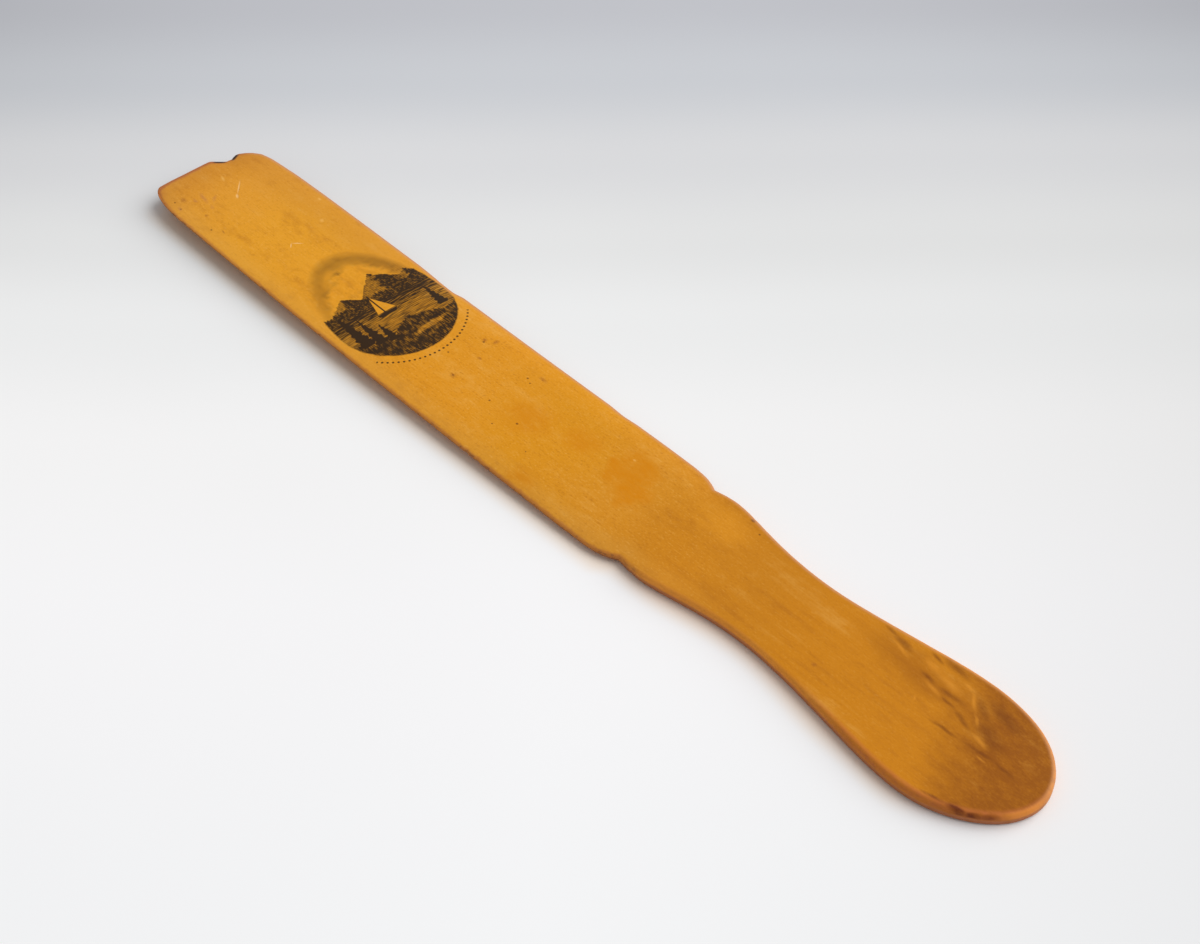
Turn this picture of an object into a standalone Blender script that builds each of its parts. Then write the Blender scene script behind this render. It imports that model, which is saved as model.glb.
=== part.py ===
# Page turner: one slat of pale hardwood, cut to a thin flat blade and a waisted paddle handle.
# The slat lies along X, from the blade's tip at -X to the end of the handle at +X, on the plane Z = 0.

import math

import bmesh
import bpy
from mathutils import Vector
from mathutils.geometry import interpolate_bezier, intersect_point_line

# Lengths are in metres. A station is a distance from the blade's tip along the slat.
LENGTH = 0.318

# Plan shape: a station with its half width, or a radius
BLADE_HALF = 0.0200
TIP_CORNER_ACROSS = 0.0075   # how far the tip's clipped corner reaches along the end edge
TIP_CORNER_ALONG = 0.0220    # and along the blade's long edge
NOTCH_STATION = 0.2035
NOTCH_HALF = 0.0169
NOTCH_RADIUS = 0.0180        # the blade's corner, rounded into the notch
SHOULDER_STATION = 0.2093
SHOULDER_HALF = 0.0175
NECK_STATION = 0.2435
NECK_HALF = 0.01355
PALM_STATION = 0.2913
PALM_HALF = 0.0187

# Lengths of the curves' handles: how far each one holds its first direction
TIP_LEAD_ACROSS = 0.0055
TIP_LEAD_ALONG = 0.0185
SHOULDER_LEAD_IN = 0.0025
SHOULDER_LEAD_OUT = 0.0080
NECK_LEAD_IN = 0.0170
NECK_LEAD_OUT = 0.0160
PALM_LEAD_IN = 0.0160

# Thickness along the middle, and of the blade's edges, which are thinned on both faces
HANDLE_THICK = 0.0036
BLADE_ROOT_THICK = 0.0028
TIP_THICK = 0.0015
EDGE_SHARE = 0.38            # the blade's edge thickness as a share of its middle
UPPER_SHARE = 0.56           # how much of the thinning the upper face takes
THINNED_BORDER = 0.0080      # width of the border over which the blade thins to its edge
BLADE_ENDS = 0.1930          # the slat thickens from here to the full handle
HANDLE_STARTS = 0.2160

# Softened rim: a quarter ellipse, this wide in plan and a share of the edge's thickness high
RIM_WIDTH = 0.0010
RIM_SHARE_TOP = 0.28
RIM_SHARE_UNDER = 0.22

# The blade has warped upwards: flat up to this station, then a parabola to the tip
FLAT_FROM = 0.1480
TIP_LIFT = 0.0031

ARC_STEP = math.radians(7.5)
CURVE_STEPS = 10
CUT_PITCH = 0.0100           # spacing of the cross cuts that let the blade bend

WOOD_COLOUR = (0.604, 0.242, 0.030, 1.0)
WOOD_ROUGHNESS = 0.42


def clear_scene():
    for old in list(bpy.data.objects):
        bpy.data.objects.remove(old, do_unlink=True)


def arc(centre, radius_x, radius_y, start, stop):
    steps = max(2, round(abs(stop - start) / ARC_STEP))
    angles = [start + (stop - start) * i / steps for i in range(steps + 1)]
    return [
        Vector((centre[0] + radius_x * math.cos(a), centre[1] + radius_y * math.sin(a)))
        for a in angles
    ]


def curve(start, start_handle, stop_handle, stop):
    knots = [Vector((*point, 0.0)) for point in (start, start_handle, stop_handle, stop)]
    return [point.to_2d() for point in interpolate_bezier(*knots, CURVE_STEPS + 1)]


def clipped_corner():
    """The softened clip across the tip's corner, from the end edge to the long edge."""
    start = (0.0, BLADE_HALF - TIP_CORNER_ACROSS)
    return curve(
        start,
        (0.0, start[1] + TIP_LEAD_ACROSS),
        (TIP_CORNER_ALONG - TIP_LEAD_ALONG, BLADE_HALF),
        (TIP_CORNER_ALONG, BLADE_HALF),
    )


def notch_corner():
    """The blade's rounded corner, from its long edge down to the bottom of the notch."""
    drop = math.acos(1 - (BLADE_HALF - NOTCH_HALF) / NOTCH_RADIUS)
    centre = (NOTCH_STATION - NOTCH_RADIUS * math.sin(drop), BLADE_HALF - NOTCH_RADIUS)
    return arc(centre, NOTCH_RADIUS, NOTCH_RADIUS, math.pi / 2, math.pi / 2 - drop)


def handle_side():
    """From the bottom of the notch over the shoulder, through the neck and round the end of the handle."""
    shoulder = curve(
        (NOTCH_STATION, NOTCH_HALF),
        (NOTCH_STATION + SHOULDER_LEAD_IN, (NOTCH_HALF + SHOULDER_HALF) / 2),
        (SHOULDER_STATION - SHOULDER_LEAD_IN, SHOULDER_HALF),
        (SHOULDER_STATION, SHOULDER_HALF),
    )
    neck = curve(
        (SHOULDER_STATION, SHOULDER_HALF),
        (SHOULDER_STATION + SHOULDER_LEAD_OUT, SHOULDER_HALF),
        (NECK_STATION - NECK_LEAD_IN, NECK_HALF),
        (NECK_STATION, NECK_HALF),
    )
    palm = curve(
        (NECK_STATION, NECK_HALF),
        (NECK_STATION + NECK_LEAD_OUT, NECK_HALF),
        (PALM_STATION - PALM_LEAD_IN, PALM_HALF),
        (PALM_STATION, PALM_HALF),
    )
    end = arc((PALM_STATION, 0.0), LENGTH - PALM_STATION, PALM_HALF, math.pi / 2, 0.0)
    return shoulder[1:] + neck[1:] + palm[1:] + end[1:]


def plan_outline():
    """The whole outline, anticlockwise from above, as stations and offsets from the centre line."""
    upper = clipped_corner() + notch_corner() + handle_side()
    lower = [Vector((point.x, -point.y)) for point in upper[:-1]]
    return lower + upper[::-1]


def smooth_step(value, low, high):
    share = min(1.0, max(0.0, (value - low) / (high - low)))
    return share * share * (3 - 2 * share)


def rim_distance(point, outline):
    """Distance in plan from a point of the slat to its nearest edge."""
    nearest = math.inf
    for start, stop in zip(outline, outline[1:] + outline[:1]):
        foot, share = intersect_point_line(point, start, stop)
        foot = start if share < 0 else stop if share > 1 else foot
        nearest = min(nearest, (point - foot.to_2d()).length)
    return nearest


def underside(station):
    bend = max(0.0, 1 - station / FLAT_FROM)
    return TIP_LIFT * bend * bend


def thickness(station):
    """Thickness along the middle of the slat."""
    blade = TIP_THICK + (BLADE_ROOT_THICK - TIP_THICK) * station / BLADE_ENDS
    return blade + (HANDLE_THICK - blade) * smooth_step(station, BLADE_ENDS, HANDLE_STARTS)


def thinning(station, inset):
    """How much thinner than its middle the blade is, at a distance in from the nearest edge."""
    border = 1 - min(1.0, inset / THINNED_BORDER)
    blade = 1 - smooth_step(station, BLADE_ENDS, HANDLE_STARTS)
    return thickness(station) * (1 - EDGE_SHARE) * border * border * blade


def rim_drop(inset):
    """How far the softened rim falls away, from 1 at the very edge to 0 where the face begins."""
    across = 1 - min(1.0, inset / RIM_WIDTH)
    return 1 - math.sqrt(1 - across * across)


def cut_faces(mesh, faces, point, normal):
    """Cut these faces along a plane, leaving both sides."""
    parts = dict.fromkeys(part for face in faces for part in (*face.verts, *face.edges, face))
    bmesh.ops.bisect_plane(mesh, geom=list(parts), plane_co=point, plane_no=normal)


def slat_mesh():
    outline = plan_outline()
    mesh = bmesh.new()
    under = mesh.faces.new([mesh.verts.new((*point, 0.0)) for point in outline])
    lifted = bmesh.ops.extrude_face_region(mesh, geom=[under])["geom"]
    for vert in (item for item in lifted if isinstance(item, bmesh.types.BMVert)):
        vert.co.z = HANDLE_THICK

    # Rings inside the outline carry the rounding of the rim
    rings = [RIM_WIDTH * (1 - math.cos(math.pi * i / 6)) for i in (1, 2, 3)]
    steps = [wide - narrow for wide, narrow in zip(rings, [0.0] + rings)]
    for face in [face for face in mesh.faces if abs(face.normal.z) > 0.5]:
        for step in steps:
            bmesh.ops.inset_region(mesh, faces=[face], thickness=step, use_even_offset=True)

    # Cross cuts let the faces follow the warp and the change of thickness
    cuts = [THINNED_BORDER / 2] + [CUT_PITCH * i for i in range(1, math.ceil(HANDLE_STARTS / CUT_PITCH))]
    for station in cuts:
        cut_faces(mesh, mesh.faces[:], (station, 0, 0), (1, 0, 0))

    # Long cuts carry the blade's thinned borders
    for side in (-1, 1):
        for share in (1 / 2, 1):
            blade = [face for face in mesh.faces if face.calc_center_median().x < BLADE_ENDS]
            cut_faces(mesh, blade, (0, side * (BLADE_HALF - share * THINNED_BORDER), 0), (0, 1, 0))

    for vert in mesh.verts:
        station = vert.co.x
        inset = rim_distance(vert.co.to_2d(), outline)
        edge = thickness(station) - thinning(station, 0.0)
        lost = thinning(station, inset)
        if vert.co.z > HANDLE_THICK / 2:
            rise = thickness(station) - UPPER_SHARE * lost - edge * RIM_SHARE_TOP * rim_drop(inset)
        else:
            rise = (1 - UPPER_SHARE) * lost + edge * RIM_SHARE_UNDER * rim_drop(inset)
        vert.co = (station - LENGTH / 2, vert.co.y, underside(station) + rise)
    bmesh.ops.triangulate(mesh, faces=mesh.faces[:])
    bmesh.ops.recalc_face_normals(mesh, faces=mesh.faces[:])
    return mesh


def varnished_wood():
    material = bpy.data.materials.new("varnished_wood")
    material.use_nodes = True
    shader = material.node_tree.nodes["Principled BSDF"]
    shader.inputs["Base Color"].default_value = WOOD_COLOUR
    shader.inputs["Roughness"].default_value = WOOD_ROUGHNESS
    shader.inputs["Metallic"].default_value = 0.0
    return material


def add_page_turner():
    data = bpy.data.meshes.new("page_turner_body")
    mesh = slat_mesh()
    mesh.to_mesh(data)
    mesh.free()
    data.materials.append(varnished_wood())
    data.shade_smooth()
    data.set_sharp_from_angle(angle=math.radians(40))
    slat = bpy.data.objects.new("page_turner_body", data)
    bpy.context.scene.collection.objects.link(slat)
    return slat


clear_scene()
add_page_turner()
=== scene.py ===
import math
from functools import reduce
from types import SimpleNamespace
import bpy
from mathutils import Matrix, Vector, kdtree, noise


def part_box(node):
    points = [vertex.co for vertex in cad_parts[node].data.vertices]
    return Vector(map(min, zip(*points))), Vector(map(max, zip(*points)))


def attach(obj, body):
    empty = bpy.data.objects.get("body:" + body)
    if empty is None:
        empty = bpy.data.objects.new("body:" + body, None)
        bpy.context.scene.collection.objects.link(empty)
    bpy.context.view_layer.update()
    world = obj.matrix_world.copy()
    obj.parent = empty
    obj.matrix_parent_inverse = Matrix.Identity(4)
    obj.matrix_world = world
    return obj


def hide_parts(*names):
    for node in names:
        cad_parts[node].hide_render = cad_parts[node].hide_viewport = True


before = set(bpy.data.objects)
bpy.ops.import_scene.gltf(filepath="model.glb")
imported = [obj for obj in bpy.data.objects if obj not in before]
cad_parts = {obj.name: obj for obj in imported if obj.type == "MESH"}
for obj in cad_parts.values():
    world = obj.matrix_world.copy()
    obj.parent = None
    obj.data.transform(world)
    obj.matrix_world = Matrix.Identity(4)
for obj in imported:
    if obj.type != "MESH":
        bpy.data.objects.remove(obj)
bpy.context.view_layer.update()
bodyLow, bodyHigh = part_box("page_turner_body")
mm = 0.001
print("frame loaded, box in mm:", [round(side / mm, 2) for side in bodyHigh - bodyLow])


def soft(value, low, high):  # smooth step from 0 to 1
    share = min(1.0, max(0.0, (value - low) / (high - low)))
    return share * share * (3 - 2 * share)


def tint(red, green, blue):  # a colour as the eye sees it, 0 to 255, in linear light
    def linear(level):
        level /= 255
        return level / 12.92 if level <= 0.04045 else ((level + 0.055) / 1.055) ** 2.4
    return (linear(red), linear(green), linear(blue), 1.0)


# Shader maths: a wire is one socket, and arithmetic on wires adds Math nodes
class Wire:
    def __init__(self, tree, socket=None):
        self.tree = tree
        self.socket = socket

    def node(self, kind, settings=None, sockets=None, out=0):
        made = self.tree.nodes.new(kind)
        for name, value in (settings or {}).items():
            if name == "stops":
                self.fillRamp(made.color_ramp, value)
            else:
                setattr(made, name, value)
        for key, value in (sockets or {}).items():
            self.feed(made.inputs[key], value)
        return Wire(self.tree, made.outputs[out])

    def feed(self, socket, value):
        if isinstance(value, Wire):
            self.tree.links.new(value.socket, socket)
        else:
            socket.default_value = value

    def fillRamp(self, ramp, stops):
        ramp.interpolation = "EASE"
        while len(ramp.elements) < len(stops):
            ramp.elements.new(1.0)
        for element, (position, colour) in zip(ramp.elements, stops):
            element.position = position
            element.color = colour

    def math(self, operation, *values):
        return self.node("ShaderNodeMath", {"operation": operation}, dict(enumerate(values)))

    def __add__(self, other):
        return self.math("ADD", self, other)

    def __radd__(self, other):
        return self.math("ADD", other, self)

    def __sub__(self, other):
        return self.math("SUBTRACT", self, other)

    def __rsub__(self, other):
        return self.math("SUBTRACT", other, self)

    def __mul__(self, other):
        return self.math("MULTIPLY", self, other)

    def __rmul__(self, other):
        return self.math("MULTIPLY", other, self)

    def __truediv__(self, other):
        return self.math("DIVIDE", self, other)

    def __rtruediv__(self, other):
        return self.math("DIVIDE", other, self)

    def __abs__(self):
        return self.math("ABSOLUTE", self)

    def plus(self, factor, other):  # this times a factor, plus other
        return self.math("MULTIPLY_ADD", self, factor, other)

    def least(self, other):
        return self.math("MINIMUM", self, other)

    def most(self, other):
        return self.math("MAXIMUM", self, other)

    def root(self):
        return self.math("SQRT", self)

    def sine(self):
        return self.math("SINE", self)

    def fraction(self):
        return self.math("FRACT", self)

    def zigzag(self):  # up to a half and down again
        return self.math("PINGPONG", self, 0.5)

    def rise(self, low, high):  # 0 below low, 1 above high
        return self.node("ShaderNodeMapRange", {"interpolation_type": "SMOOTHSTEP"},
                         {0: self, 1: low, 2: high, 3: 0.0, 4: 1.0})

    def fall(self, low, high):  # 1 below low, 0 above high
        return self.node("ShaderNodeMapRange", {"interpolation_type": "SMOOTHSTEP"},
                         {0: self, 1: low, 2: high, 3: 1.0, 4: 0.0})

    def vector(self, operation, *values, out=0):
        return self.node("ShaderNodeVectorMath", {"operation": operation}, dict(enumerate(values)), out)

    def clouds(self, size, detail=2.0, roughness=0.5, shift=0.0):  # noise about 0, lumps of that size
        scaled = self.vector("MULTIPLY_ADD", self, [1 / side for side in size], (shift, shift, shift))
        return self.node("ShaderNodeTexNoise", None,
                         {"Vector": scaled, "Scale": 1.0, "Detail": detail, "Roughness": roughness}) - 0.5

    def over(self, other, share):  # other laid over this value
        return self + (other - self) * share

    def paint(self, colour, share):  # a colour laid over this colour
        return self.node("ShaderNodeMix", {"data_type": "RGBA"}, {0: share, 6: self, 7: colour}, 2)


# The slat: stations are measured from the blade's tip, all in millimetres
slat = {
    "cornerAcross": 7.5,  # the tip's clipped corner along the end edge
    "cornerAlong": 22.0,  # and along the blade
    "cornerLeadAcross": 5.5,
    "cornerLeadAlong": 18.5,
    "cornerSplit": 4.0,  # station where the end edge hands over to the sides
    "notch": 203.5,
    "notchHalf": 16.9,
    "notchRadius": 18.0,
    "shoulder": 209.3,
    "shoulderHalf": 17.5,
    "shoulderLeadIn": 2.5,
    "shoulderLeadOut": 8.0,
    "neck": 243.5,
    "neckHalf": 13.55,
    "neckLeadIn": 17.0,
    "neckLeadOut": 16.0,
    "palm": 291.3,
    "palmHalf": 18.7,
    "palmLeadIn": 16.0,
    "endSplit": 45.0,  # degrees round the handle's end
    "handleThick": 3.6,
    "rootThick": 2.8,
    "tipThick": 1.5,
    "edgeShare": 0.38,  # the blade's edge thickness as a share of its middle
    "upperShare": 0.56,  # how much of that thinning the upper face takes
    "thinnedBorder": 8.0,
    "bladeEnds": 193.0,
    "handleStarts": 216.0,
    "rimWidth": 1.0,
    "rimTop": 0.28,
    "rimUnder": 0.22,
    "flatFrom": 148.0,
    "tipLift": 3.1,
    "columnStep": 0.5,  # spacing of the mesh along the slat
    "columnFine": 0.12,  # at its ends and at the notch
    "columnGrowth": 0.12,  # how fast it widens away from them
    "rows": [0, 0.06, 0.15, 0.28, 0.46, 0.7, 1.0, 1.5, 2.2, 3.0],  # insets of the mesh's rows
    "nearRow": 2.8,  # their spacing further in, on the near half
    "farRow": 0.85,  # and on the far half, which has the chip
    "tipBlend": 12.0,  # how far the shape of the tip's edge is felt in the mesh
    "endBlend": 20.0,  # and that of the handle's end
    "outlineStep": 0.04,  # spacing of the points that insets are measured from
    "sharpAngle": 40.0,  # degrees
}

# What use has done to the edges, in millimetres
wear = {
    "farEdge": [  # station, loss
        (4, 4.7), (5.3, 3.55), (7.6, 2.3), (11, 1.85), (18, 1.55), (24, 1.15), (37, 0.8), (60, 0.55),
        (80, 0.5), (110, 0.45), (184, 0.52), (196, 0.7), (203, 0.05), (214, 0.2), (258, 0.2),
        (274, 0.48), (290, 0.3), (306, 0.0)],
    "nearEdge": [
        (4, 0.4), (10, 0.0), (110, 0.0), (130, 0.15), (184, 0.32), (196, 0.58), (203, 0.12),
        (236, 0.2), (252, 0.0), (274, 0.22), (290, 0.0)],
    "endEdge": [  # offset, loss, with a chip
        (-16.0, 0.7), (-12.0, 0.4), (-6.5, 0.35), (-3.3, 0.25), (2.4, 0.2), (3.0, 0.4), (4.0, 1.35),
        (5.3, 2.6), (6.6, 3.6), (8.6, 3.75), (10.1, 3.0), (11.4, 2.7), (13.5, 4.0)],
    "gouge": (80.0, 97.0, 101.5, 0.65),  # far edge: start, deepest, end, depth
    "dip": (167.0, 6.0, 0.3),  # far edge: station, half length, depth
    "ragged": 0.05,  # roughness along both edges
    "raggedPitch": (2.3, 0.8),  # its long and short waves
    "nibble": 0.22,  # more of it on the near edge towards the root of the blade
    "nibbleFrom": (60, 150),  # stations where that sets in
    "nibbleTo": (203, 223),  # and ends
    "chipRough": 0.25,  # broken edge of the chip
    "chipPitch": 0.9,
    "chipFrom": (0.8, 2.5),  # losses at which it counts as broken
    "tipRough": 0.1,
    "tipPitch": 1.7,
    "notchEarlier": (1.0, 0.6),  # nearer the tip, on the near and far sides
    "notchSides": (-16, 16),  # offsets of those sides
    "notchFrom": (188, 201),  # stations where that shift sets in
    "notchTo": (202, 210),  # and ends
    "handleShift": 0.06,  # the handle leans to the far side
    "handleFrom": (196, 240),
    "endShift": 0.6,  # and its end more
    "endFrom": (296, 314),
}

length = (bodyHigh.x - bodyLow.x) / mm
bladeHalf = bodyHigh.y / mm


def bezier(knots, share):
    rest = 1 - share
    weights = (rest ** 3, 3 * rest * rest * share, 3 * rest * share * share, share ** 3)
    return sum(weight * knot for weight, knot in zip(weights, knots))


def onCurve(points, value, axis):  # the other coordinate where a rising curve reaches this value
    low, high = 0.0, 1.0
    for _ in range(40):
        middle = (low + high) / 2
        if bezier([point[axis] for point in points], middle) < value:
            low = middle
        else:
            high = middle
    return bezier([point[1 - axis] for point in points], low)


def tipCorner():
    start = bladeHalf - slat["cornerAcross"]
    return [(0.0, start), (0.0, start + slat["cornerLeadAcross"]),
            (slat["cornerAlong"] - slat["cornerLeadAlong"], bladeHalf), (slat["cornerAlong"], bladeHalf)]


def handleCurves():
    notch, shoulder, neck, palm = (
        (slat[name], slat[name + "Half"]) for name in ("notch", "shoulder", "neck", "palm"))
    lead = slat["shoulderLeadIn"]
    return [
        [notch, (notch[0] + lead, (notch[1] + shoulder[1]) / 2),
         (shoulder[0] - lead, shoulder[1]), shoulder],
        [shoulder, (shoulder[0] + slat["shoulderLeadOut"], shoulder[1]),
         (neck[0] - slat["neckLeadIn"], neck[1]), neck],
        [neck, (neck[0] + slat["neckLeadOut"], neck[1]), (palm[0] - slat["palmLeadIn"], palm[1]), palm],
    ]


def halfWidth(station):
    if station < slat["cornerAlong"]:
        return onCurve(tipCorner(), station, 0)
    if station < slat["notch"]:
        radius = slat["notchRadius"]
        drop = math.acos(1 - (bladeHalf - slat["notchHalf"]) / radius)
        past = max(0.0, station - (slat["notch"] - radius * math.sin(drop)))
        return bladeHalf - radius + math.sqrt(radius * radius - past * past)
    for points in handleCurves():
        if station < points[-1][0]:
            return onCurve(points, station, 0)
    along = (station - slat["palm"]) / (length - slat["palm"])
    return slat["palmHalf"] * math.sqrt(max(0.0, 1 - along * along))


def between(value, points):  # straight lines through a few points
    for (start, low), (stop, high) in zip(points, points[1:]):
        if start <= value <= stop:
            return low + (high - low) * (value - start) / (stop - start)
    return points[0][1] if value < points[0][0] else points[-1][1]


def ripple(value, pitch, lane, layer=0.0):  # noise along one line of many
    return noise.noise((value / pitch, lane, layer))


def edgeLoss(station, side):  # how far wear has cut in from the sawn edge
    longPitch, shortPitch = wear["raggedPitch"]
    grain = ripple(station, longPitch, side * 7.0) + 0.5 * ripple(station, shortPitch, side * 9.0, 4.0)
    ragged = max(0.0, grain)
    if side > 0:
        start, deepest, stop, depth = wear["gouge"]
        gouge = depth * soft(station, start, deepest) * (1 - soft(station, deepest, stop))
        place, reach, shallow = wear["dip"]
        dip = shallow * (1 - soft(abs(station - place), 0, reach))
        return between(station, wear["farEdge"]) + gouge + dip + wear["ragged"] * ragged
    root = soft(station, *wear["nibbleFrom"]) * (1 - soft(station, *wear["nibbleTo"]))
    return between(station, wear["nearEdge"]) + ragged * (wear["ragged"] + wear["nibble"] * root)


def tipStation(offset):  # where the end edge lies at this offset from the middle
    corner = tipCorner()
    edge = onCurve(corner, -offset, 1) if -offset > corner[0][1] else 0.0
    loss = between(offset, wear["endEdge"])
    broken = wear["chipRough"] * ripple(offset, wear["chipPitch"], 3.0) * soft(loss, *wear["chipFrom"])
    worn = wear["tipRough"] * max(0.0, ripple(offset, wear["tipPitch"], 11.0))
    return max(edge, loss + broken) + worn


def endStation(offset):
    across = min(1.0, abs(offset) / slat["palmHalf"])
    return slat["palm"] + (length - slat["palm"]) * math.sqrt(1 - across * across)


def columnStations():  # close together at the ends and the notch
    last = slat["palm"] + (length - slat["palm"]) * math.sin(math.radians(slat["endSplit"]))
    station, found = slat["cornerSplit"], []
    while station < last:
        found.append(station)
        near = min(station - slat["cornerSplit"], last - station, abs(station - slat["notch"]))
        step = min(slat["columnStep"], slat["columnFine"] + slat["columnGrowth"] * near)
        if station < slat["notch"] < station + step:
            step = slat["notch"] - station
        station += step
    return found[:-1] + [last]


def rowShares():  # from the near edge, 0, to the far edge, 1
    halves = []
    for spacing in (slat["nearRow"], slat["farRow"]):
        first = slat["rows"][-1]
        steps = math.ceil((bladeHalf - first) / spacing)
        insets = slat["rows"] + [first + (bladeHalf - first) * step / steps for step in range(1, steps + 1)]
        halves.append([inset / (2 * bladeHalf) for inset in insets])
    return halves[0] + [1 - share for share in reversed(halves[1][:-1])]


def lean(station, offset):  # the slat isn't quite even side to side
    aside = wear["handleShift"] * soft(station, *wear["handleFrom"])
    aside += wear["endShift"] * soft(station, *wear["endFrom"])
    near, far = wear["notchEarlier"]
    early = near + (far - near) * soft(offset, *wear["notchSides"])
    early *= soft(station, *wear["notchFrom"]) * (1 - soft(station, *wear["notchTo"]))
    return station - early, offset + aside


def planPoints():  # grid of points on the plan, column by column from the tip
    stations, shares = columnStations(), rowShares()
    near, far = ([side * (halfWidth(station) - edgeLoss(station, side)) for station in stations]
                 for side in (-1, 1))
    first, last = stations[0], stations[-1]
    tips, ends = [], []
    for share in shares:
        offset = near[0] + (far[0] - near[0]) * share
        tips.append(tipStation(offset) - first if 0 < share < 1 else 0.0)
        offset = near[-1] + (far[-1] - near[-1]) * share
        ends.append(endStation(offset) - last if 0 < share < 1 else 0.0)
    grid = []
    for column, station in enumerate(stations):
        atTip = math.exp((first - station) / slat["tipBlend"])
        atEnd = math.exp((station - last) / slat["endBlend"])
        for row, share in enumerate(shares):
            offset = near[column] + (far[column] - near[column]) * share
            grid.append((station + tips[row] * atTip + ends[row] * atEnd, offset))
    return grid, len(stations), len(shares)


def outlineTree(grid, columns, rows):  # fine points all round the outline
    rim = [grid[column * rows] for column in range(columns)]
    rim += [grid[(columns - 1) * rows + row] for row in range(rows)]
    rim += [grid[column * rows + rows - 1] for column in reversed(range(columns))]
    rim += [grid[row] for row in reversed(range(rows))]
    points = []
    for start, stop in zip(rim, rim[1:]):
        steps = max(1, math.ceil(math.dist(start, stop) / slat["outlineStep"]))
        ends = Vector((*start, 0.0)), Vector((*stop, 0.0))
        points += [ends[0].lerp(ends[1], step / steps) for step in range(steps)]
    tree = kdtree.KDTree(len(points))
    for index, point in enumerate(points):
        tree.insert(point, index)
    tree.balance()
    return tree


def underside(station):
    return slat["tipLift"] * max(0.0, 1 - station / slat["flatFrom"]) ** 2


def thickness(station):  # along the middle
    blade = slat["tipThick"] + (slat["rootThick"] - slat["tipThick"]) * station / slat["bladeEnds"]
    return blade + (slat["handleThick"] - blade) * soft(station, slat["bladeEnds"], slat["handleStarts"])


def thinning(station, inset):  # how much thinner the blade is towards its edges
    border = 1 - min(1.0, inset / slat["thinnedBorder"])
    blade = 1 - soft(station, slat["bladeEnds"], slat["handleStarts"])
    return thickness(station) * (1 - slat["edgeShare"]) * border * border * blade


def rimDrop(inset):  # quarter ellipse, 1 at the very edge
    across = 1 - min(1.0, inset / slat["rimWidth"])
    return 1 - math.sqrt(1 - across * across)


def makeSlat():
    grid, columns, rows = planPoints()
    tree = outlineTree(grid, columns, rows)
    bpy.ops.object.select_all(action="DESELECT")
    bpy.ops.mesh.primitive_grid_add(x_subdivisions=columns - 1, y_subdivisions=rows - 1, size=2)
    piece = bpy.context.object
    piece.name = "wooden_slat"
    mesh = piece.data
    mesh.name = "wooden_slat"
    inset = mesh.attributes.new("rimInset", "FLOAT", "POINT")
    for vertex in mesh.vertices:
        column = round((vertex.co.x + 1) / 2 * (columns - 1))
        row = round((vertex.co.y + 1) / 2 * (rows - 1))
        station, offset = grid[column * rows + row]
        onRim = column in (0, columns - 1) or row in (0, rows - 1)
        inset.data[vertex.index].value = 0.0 if onRim else tree.find((station, offset, 0.0))[2]
        station, offset = lean(station, offset)
        vertex.co = (bodyLow.x + station * mm, offset * mm, 0.0)

    # The sheet is drawn down into a solid, then both faces are shaved to their heights
    bpy.ops.object.mode_set(mode="EDIT")
    bpy.ops.mesh.select_all(action="SELECT")
    bpy.ops.mesh.extrude_region_move(TRANSFORM_OT_translate={"value": (0, 0, -mm)})
    bpy.ops.mesh.select_all(action="SELECT")
    bpy.ops.mesh.normals_make_consistent(inside=False)
    bpy.ops.object.mode_set(mode="OBJECT")
    upper = mesh.attributes.new("upperFace", "FLOAT", "POINT")
    inset = mesh.attributes["rimInset"]
    for vertex in mesh.vertices:
        station = (vertex.co.x - bodyLow.x) / mm
        depth = inset.data[vertex.index].value
        onTop = vertex.co.z > -mm / 2
        edge = thickness(station) - thinning(station, 0.0)
        lost = thinning(station, depth)
        height = underside(station)
        if onTop:
            height += thickness(station) - slat["upperShare"] * lost
            height -= edge * slat["rimTop"] * rimDrop(depth)
        else:
            height += (1 - slat["upperShare"]) * lost + edge * slat["rimUnder"] * rimDrop(depth)
        vertex.co.z = min(height * mm, bodyHigh.z)
        upper.data[vertex.index].value = 1.0 if onTop else 0.0
    unfold(piece)
    bpy.ops.object.shade_smooth_by_angle(angle=math.radians(slat["sharpAngle"]))
    print("slat modelled:", len(mesh.polygons), "faces")
    return piece


# The slat unfolded for its texture, in millimetres: each face in two strips
sheet = {
    "strips": 4,
    "stripPitch": 46.0,
    "endMargin": 4.0,
    "sideMargin": 3.0,
}


def unfold(piece):  # strips one above the other, walls folded outwards
    mesh = piece.data
    layer = mesh.uv_layers.new(name="OFBake")
    upper = mesh.attributes["upperFace"].data
    side = sheet["strips"] * sheet["stripPitch"]
    stripLength = length / 2
    stretch = (side - 2 * sheet["endMargin"]) / stripLength
    for face in mesh.polygons:
        corners = [mesh.vertices[index] for index in face.vertices]
        tops = [upper[index].value > 0.5 for index in face.vertices]
        middle = sum(corner.co.x for corner in corners) / len(corners)
        half = 0 if middle < (bodyLow.x + bodyHigh.x) / 2 else 1
        strip = half + (0 if any(tops) else 2)
        wall = any(tops) and not all(tops)
        if wall:
            levels = [corner.co.z for corner in corners]
            tall = (max(levels) - min(levels)) / mm
            fold = Vector((face.normal.x, face.normal.y)).normalized() * tall
        for loop, corner, top in zip(face.loop_indices, corners, tops):
            along = (corner.co.x - bodyLow.x) / mm - half * stripLength
            across = corner.co.y / mm + bladeHalf
            if wall and not top:
                along += fold.x
                across += fold.y
            layer.data[loop].uv = (
                (along * stretch + sheet["endMargin"]) / side,
                (across + strip * sheet["stripPitch"] + sheet["sideMargin"]) / side)


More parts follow.
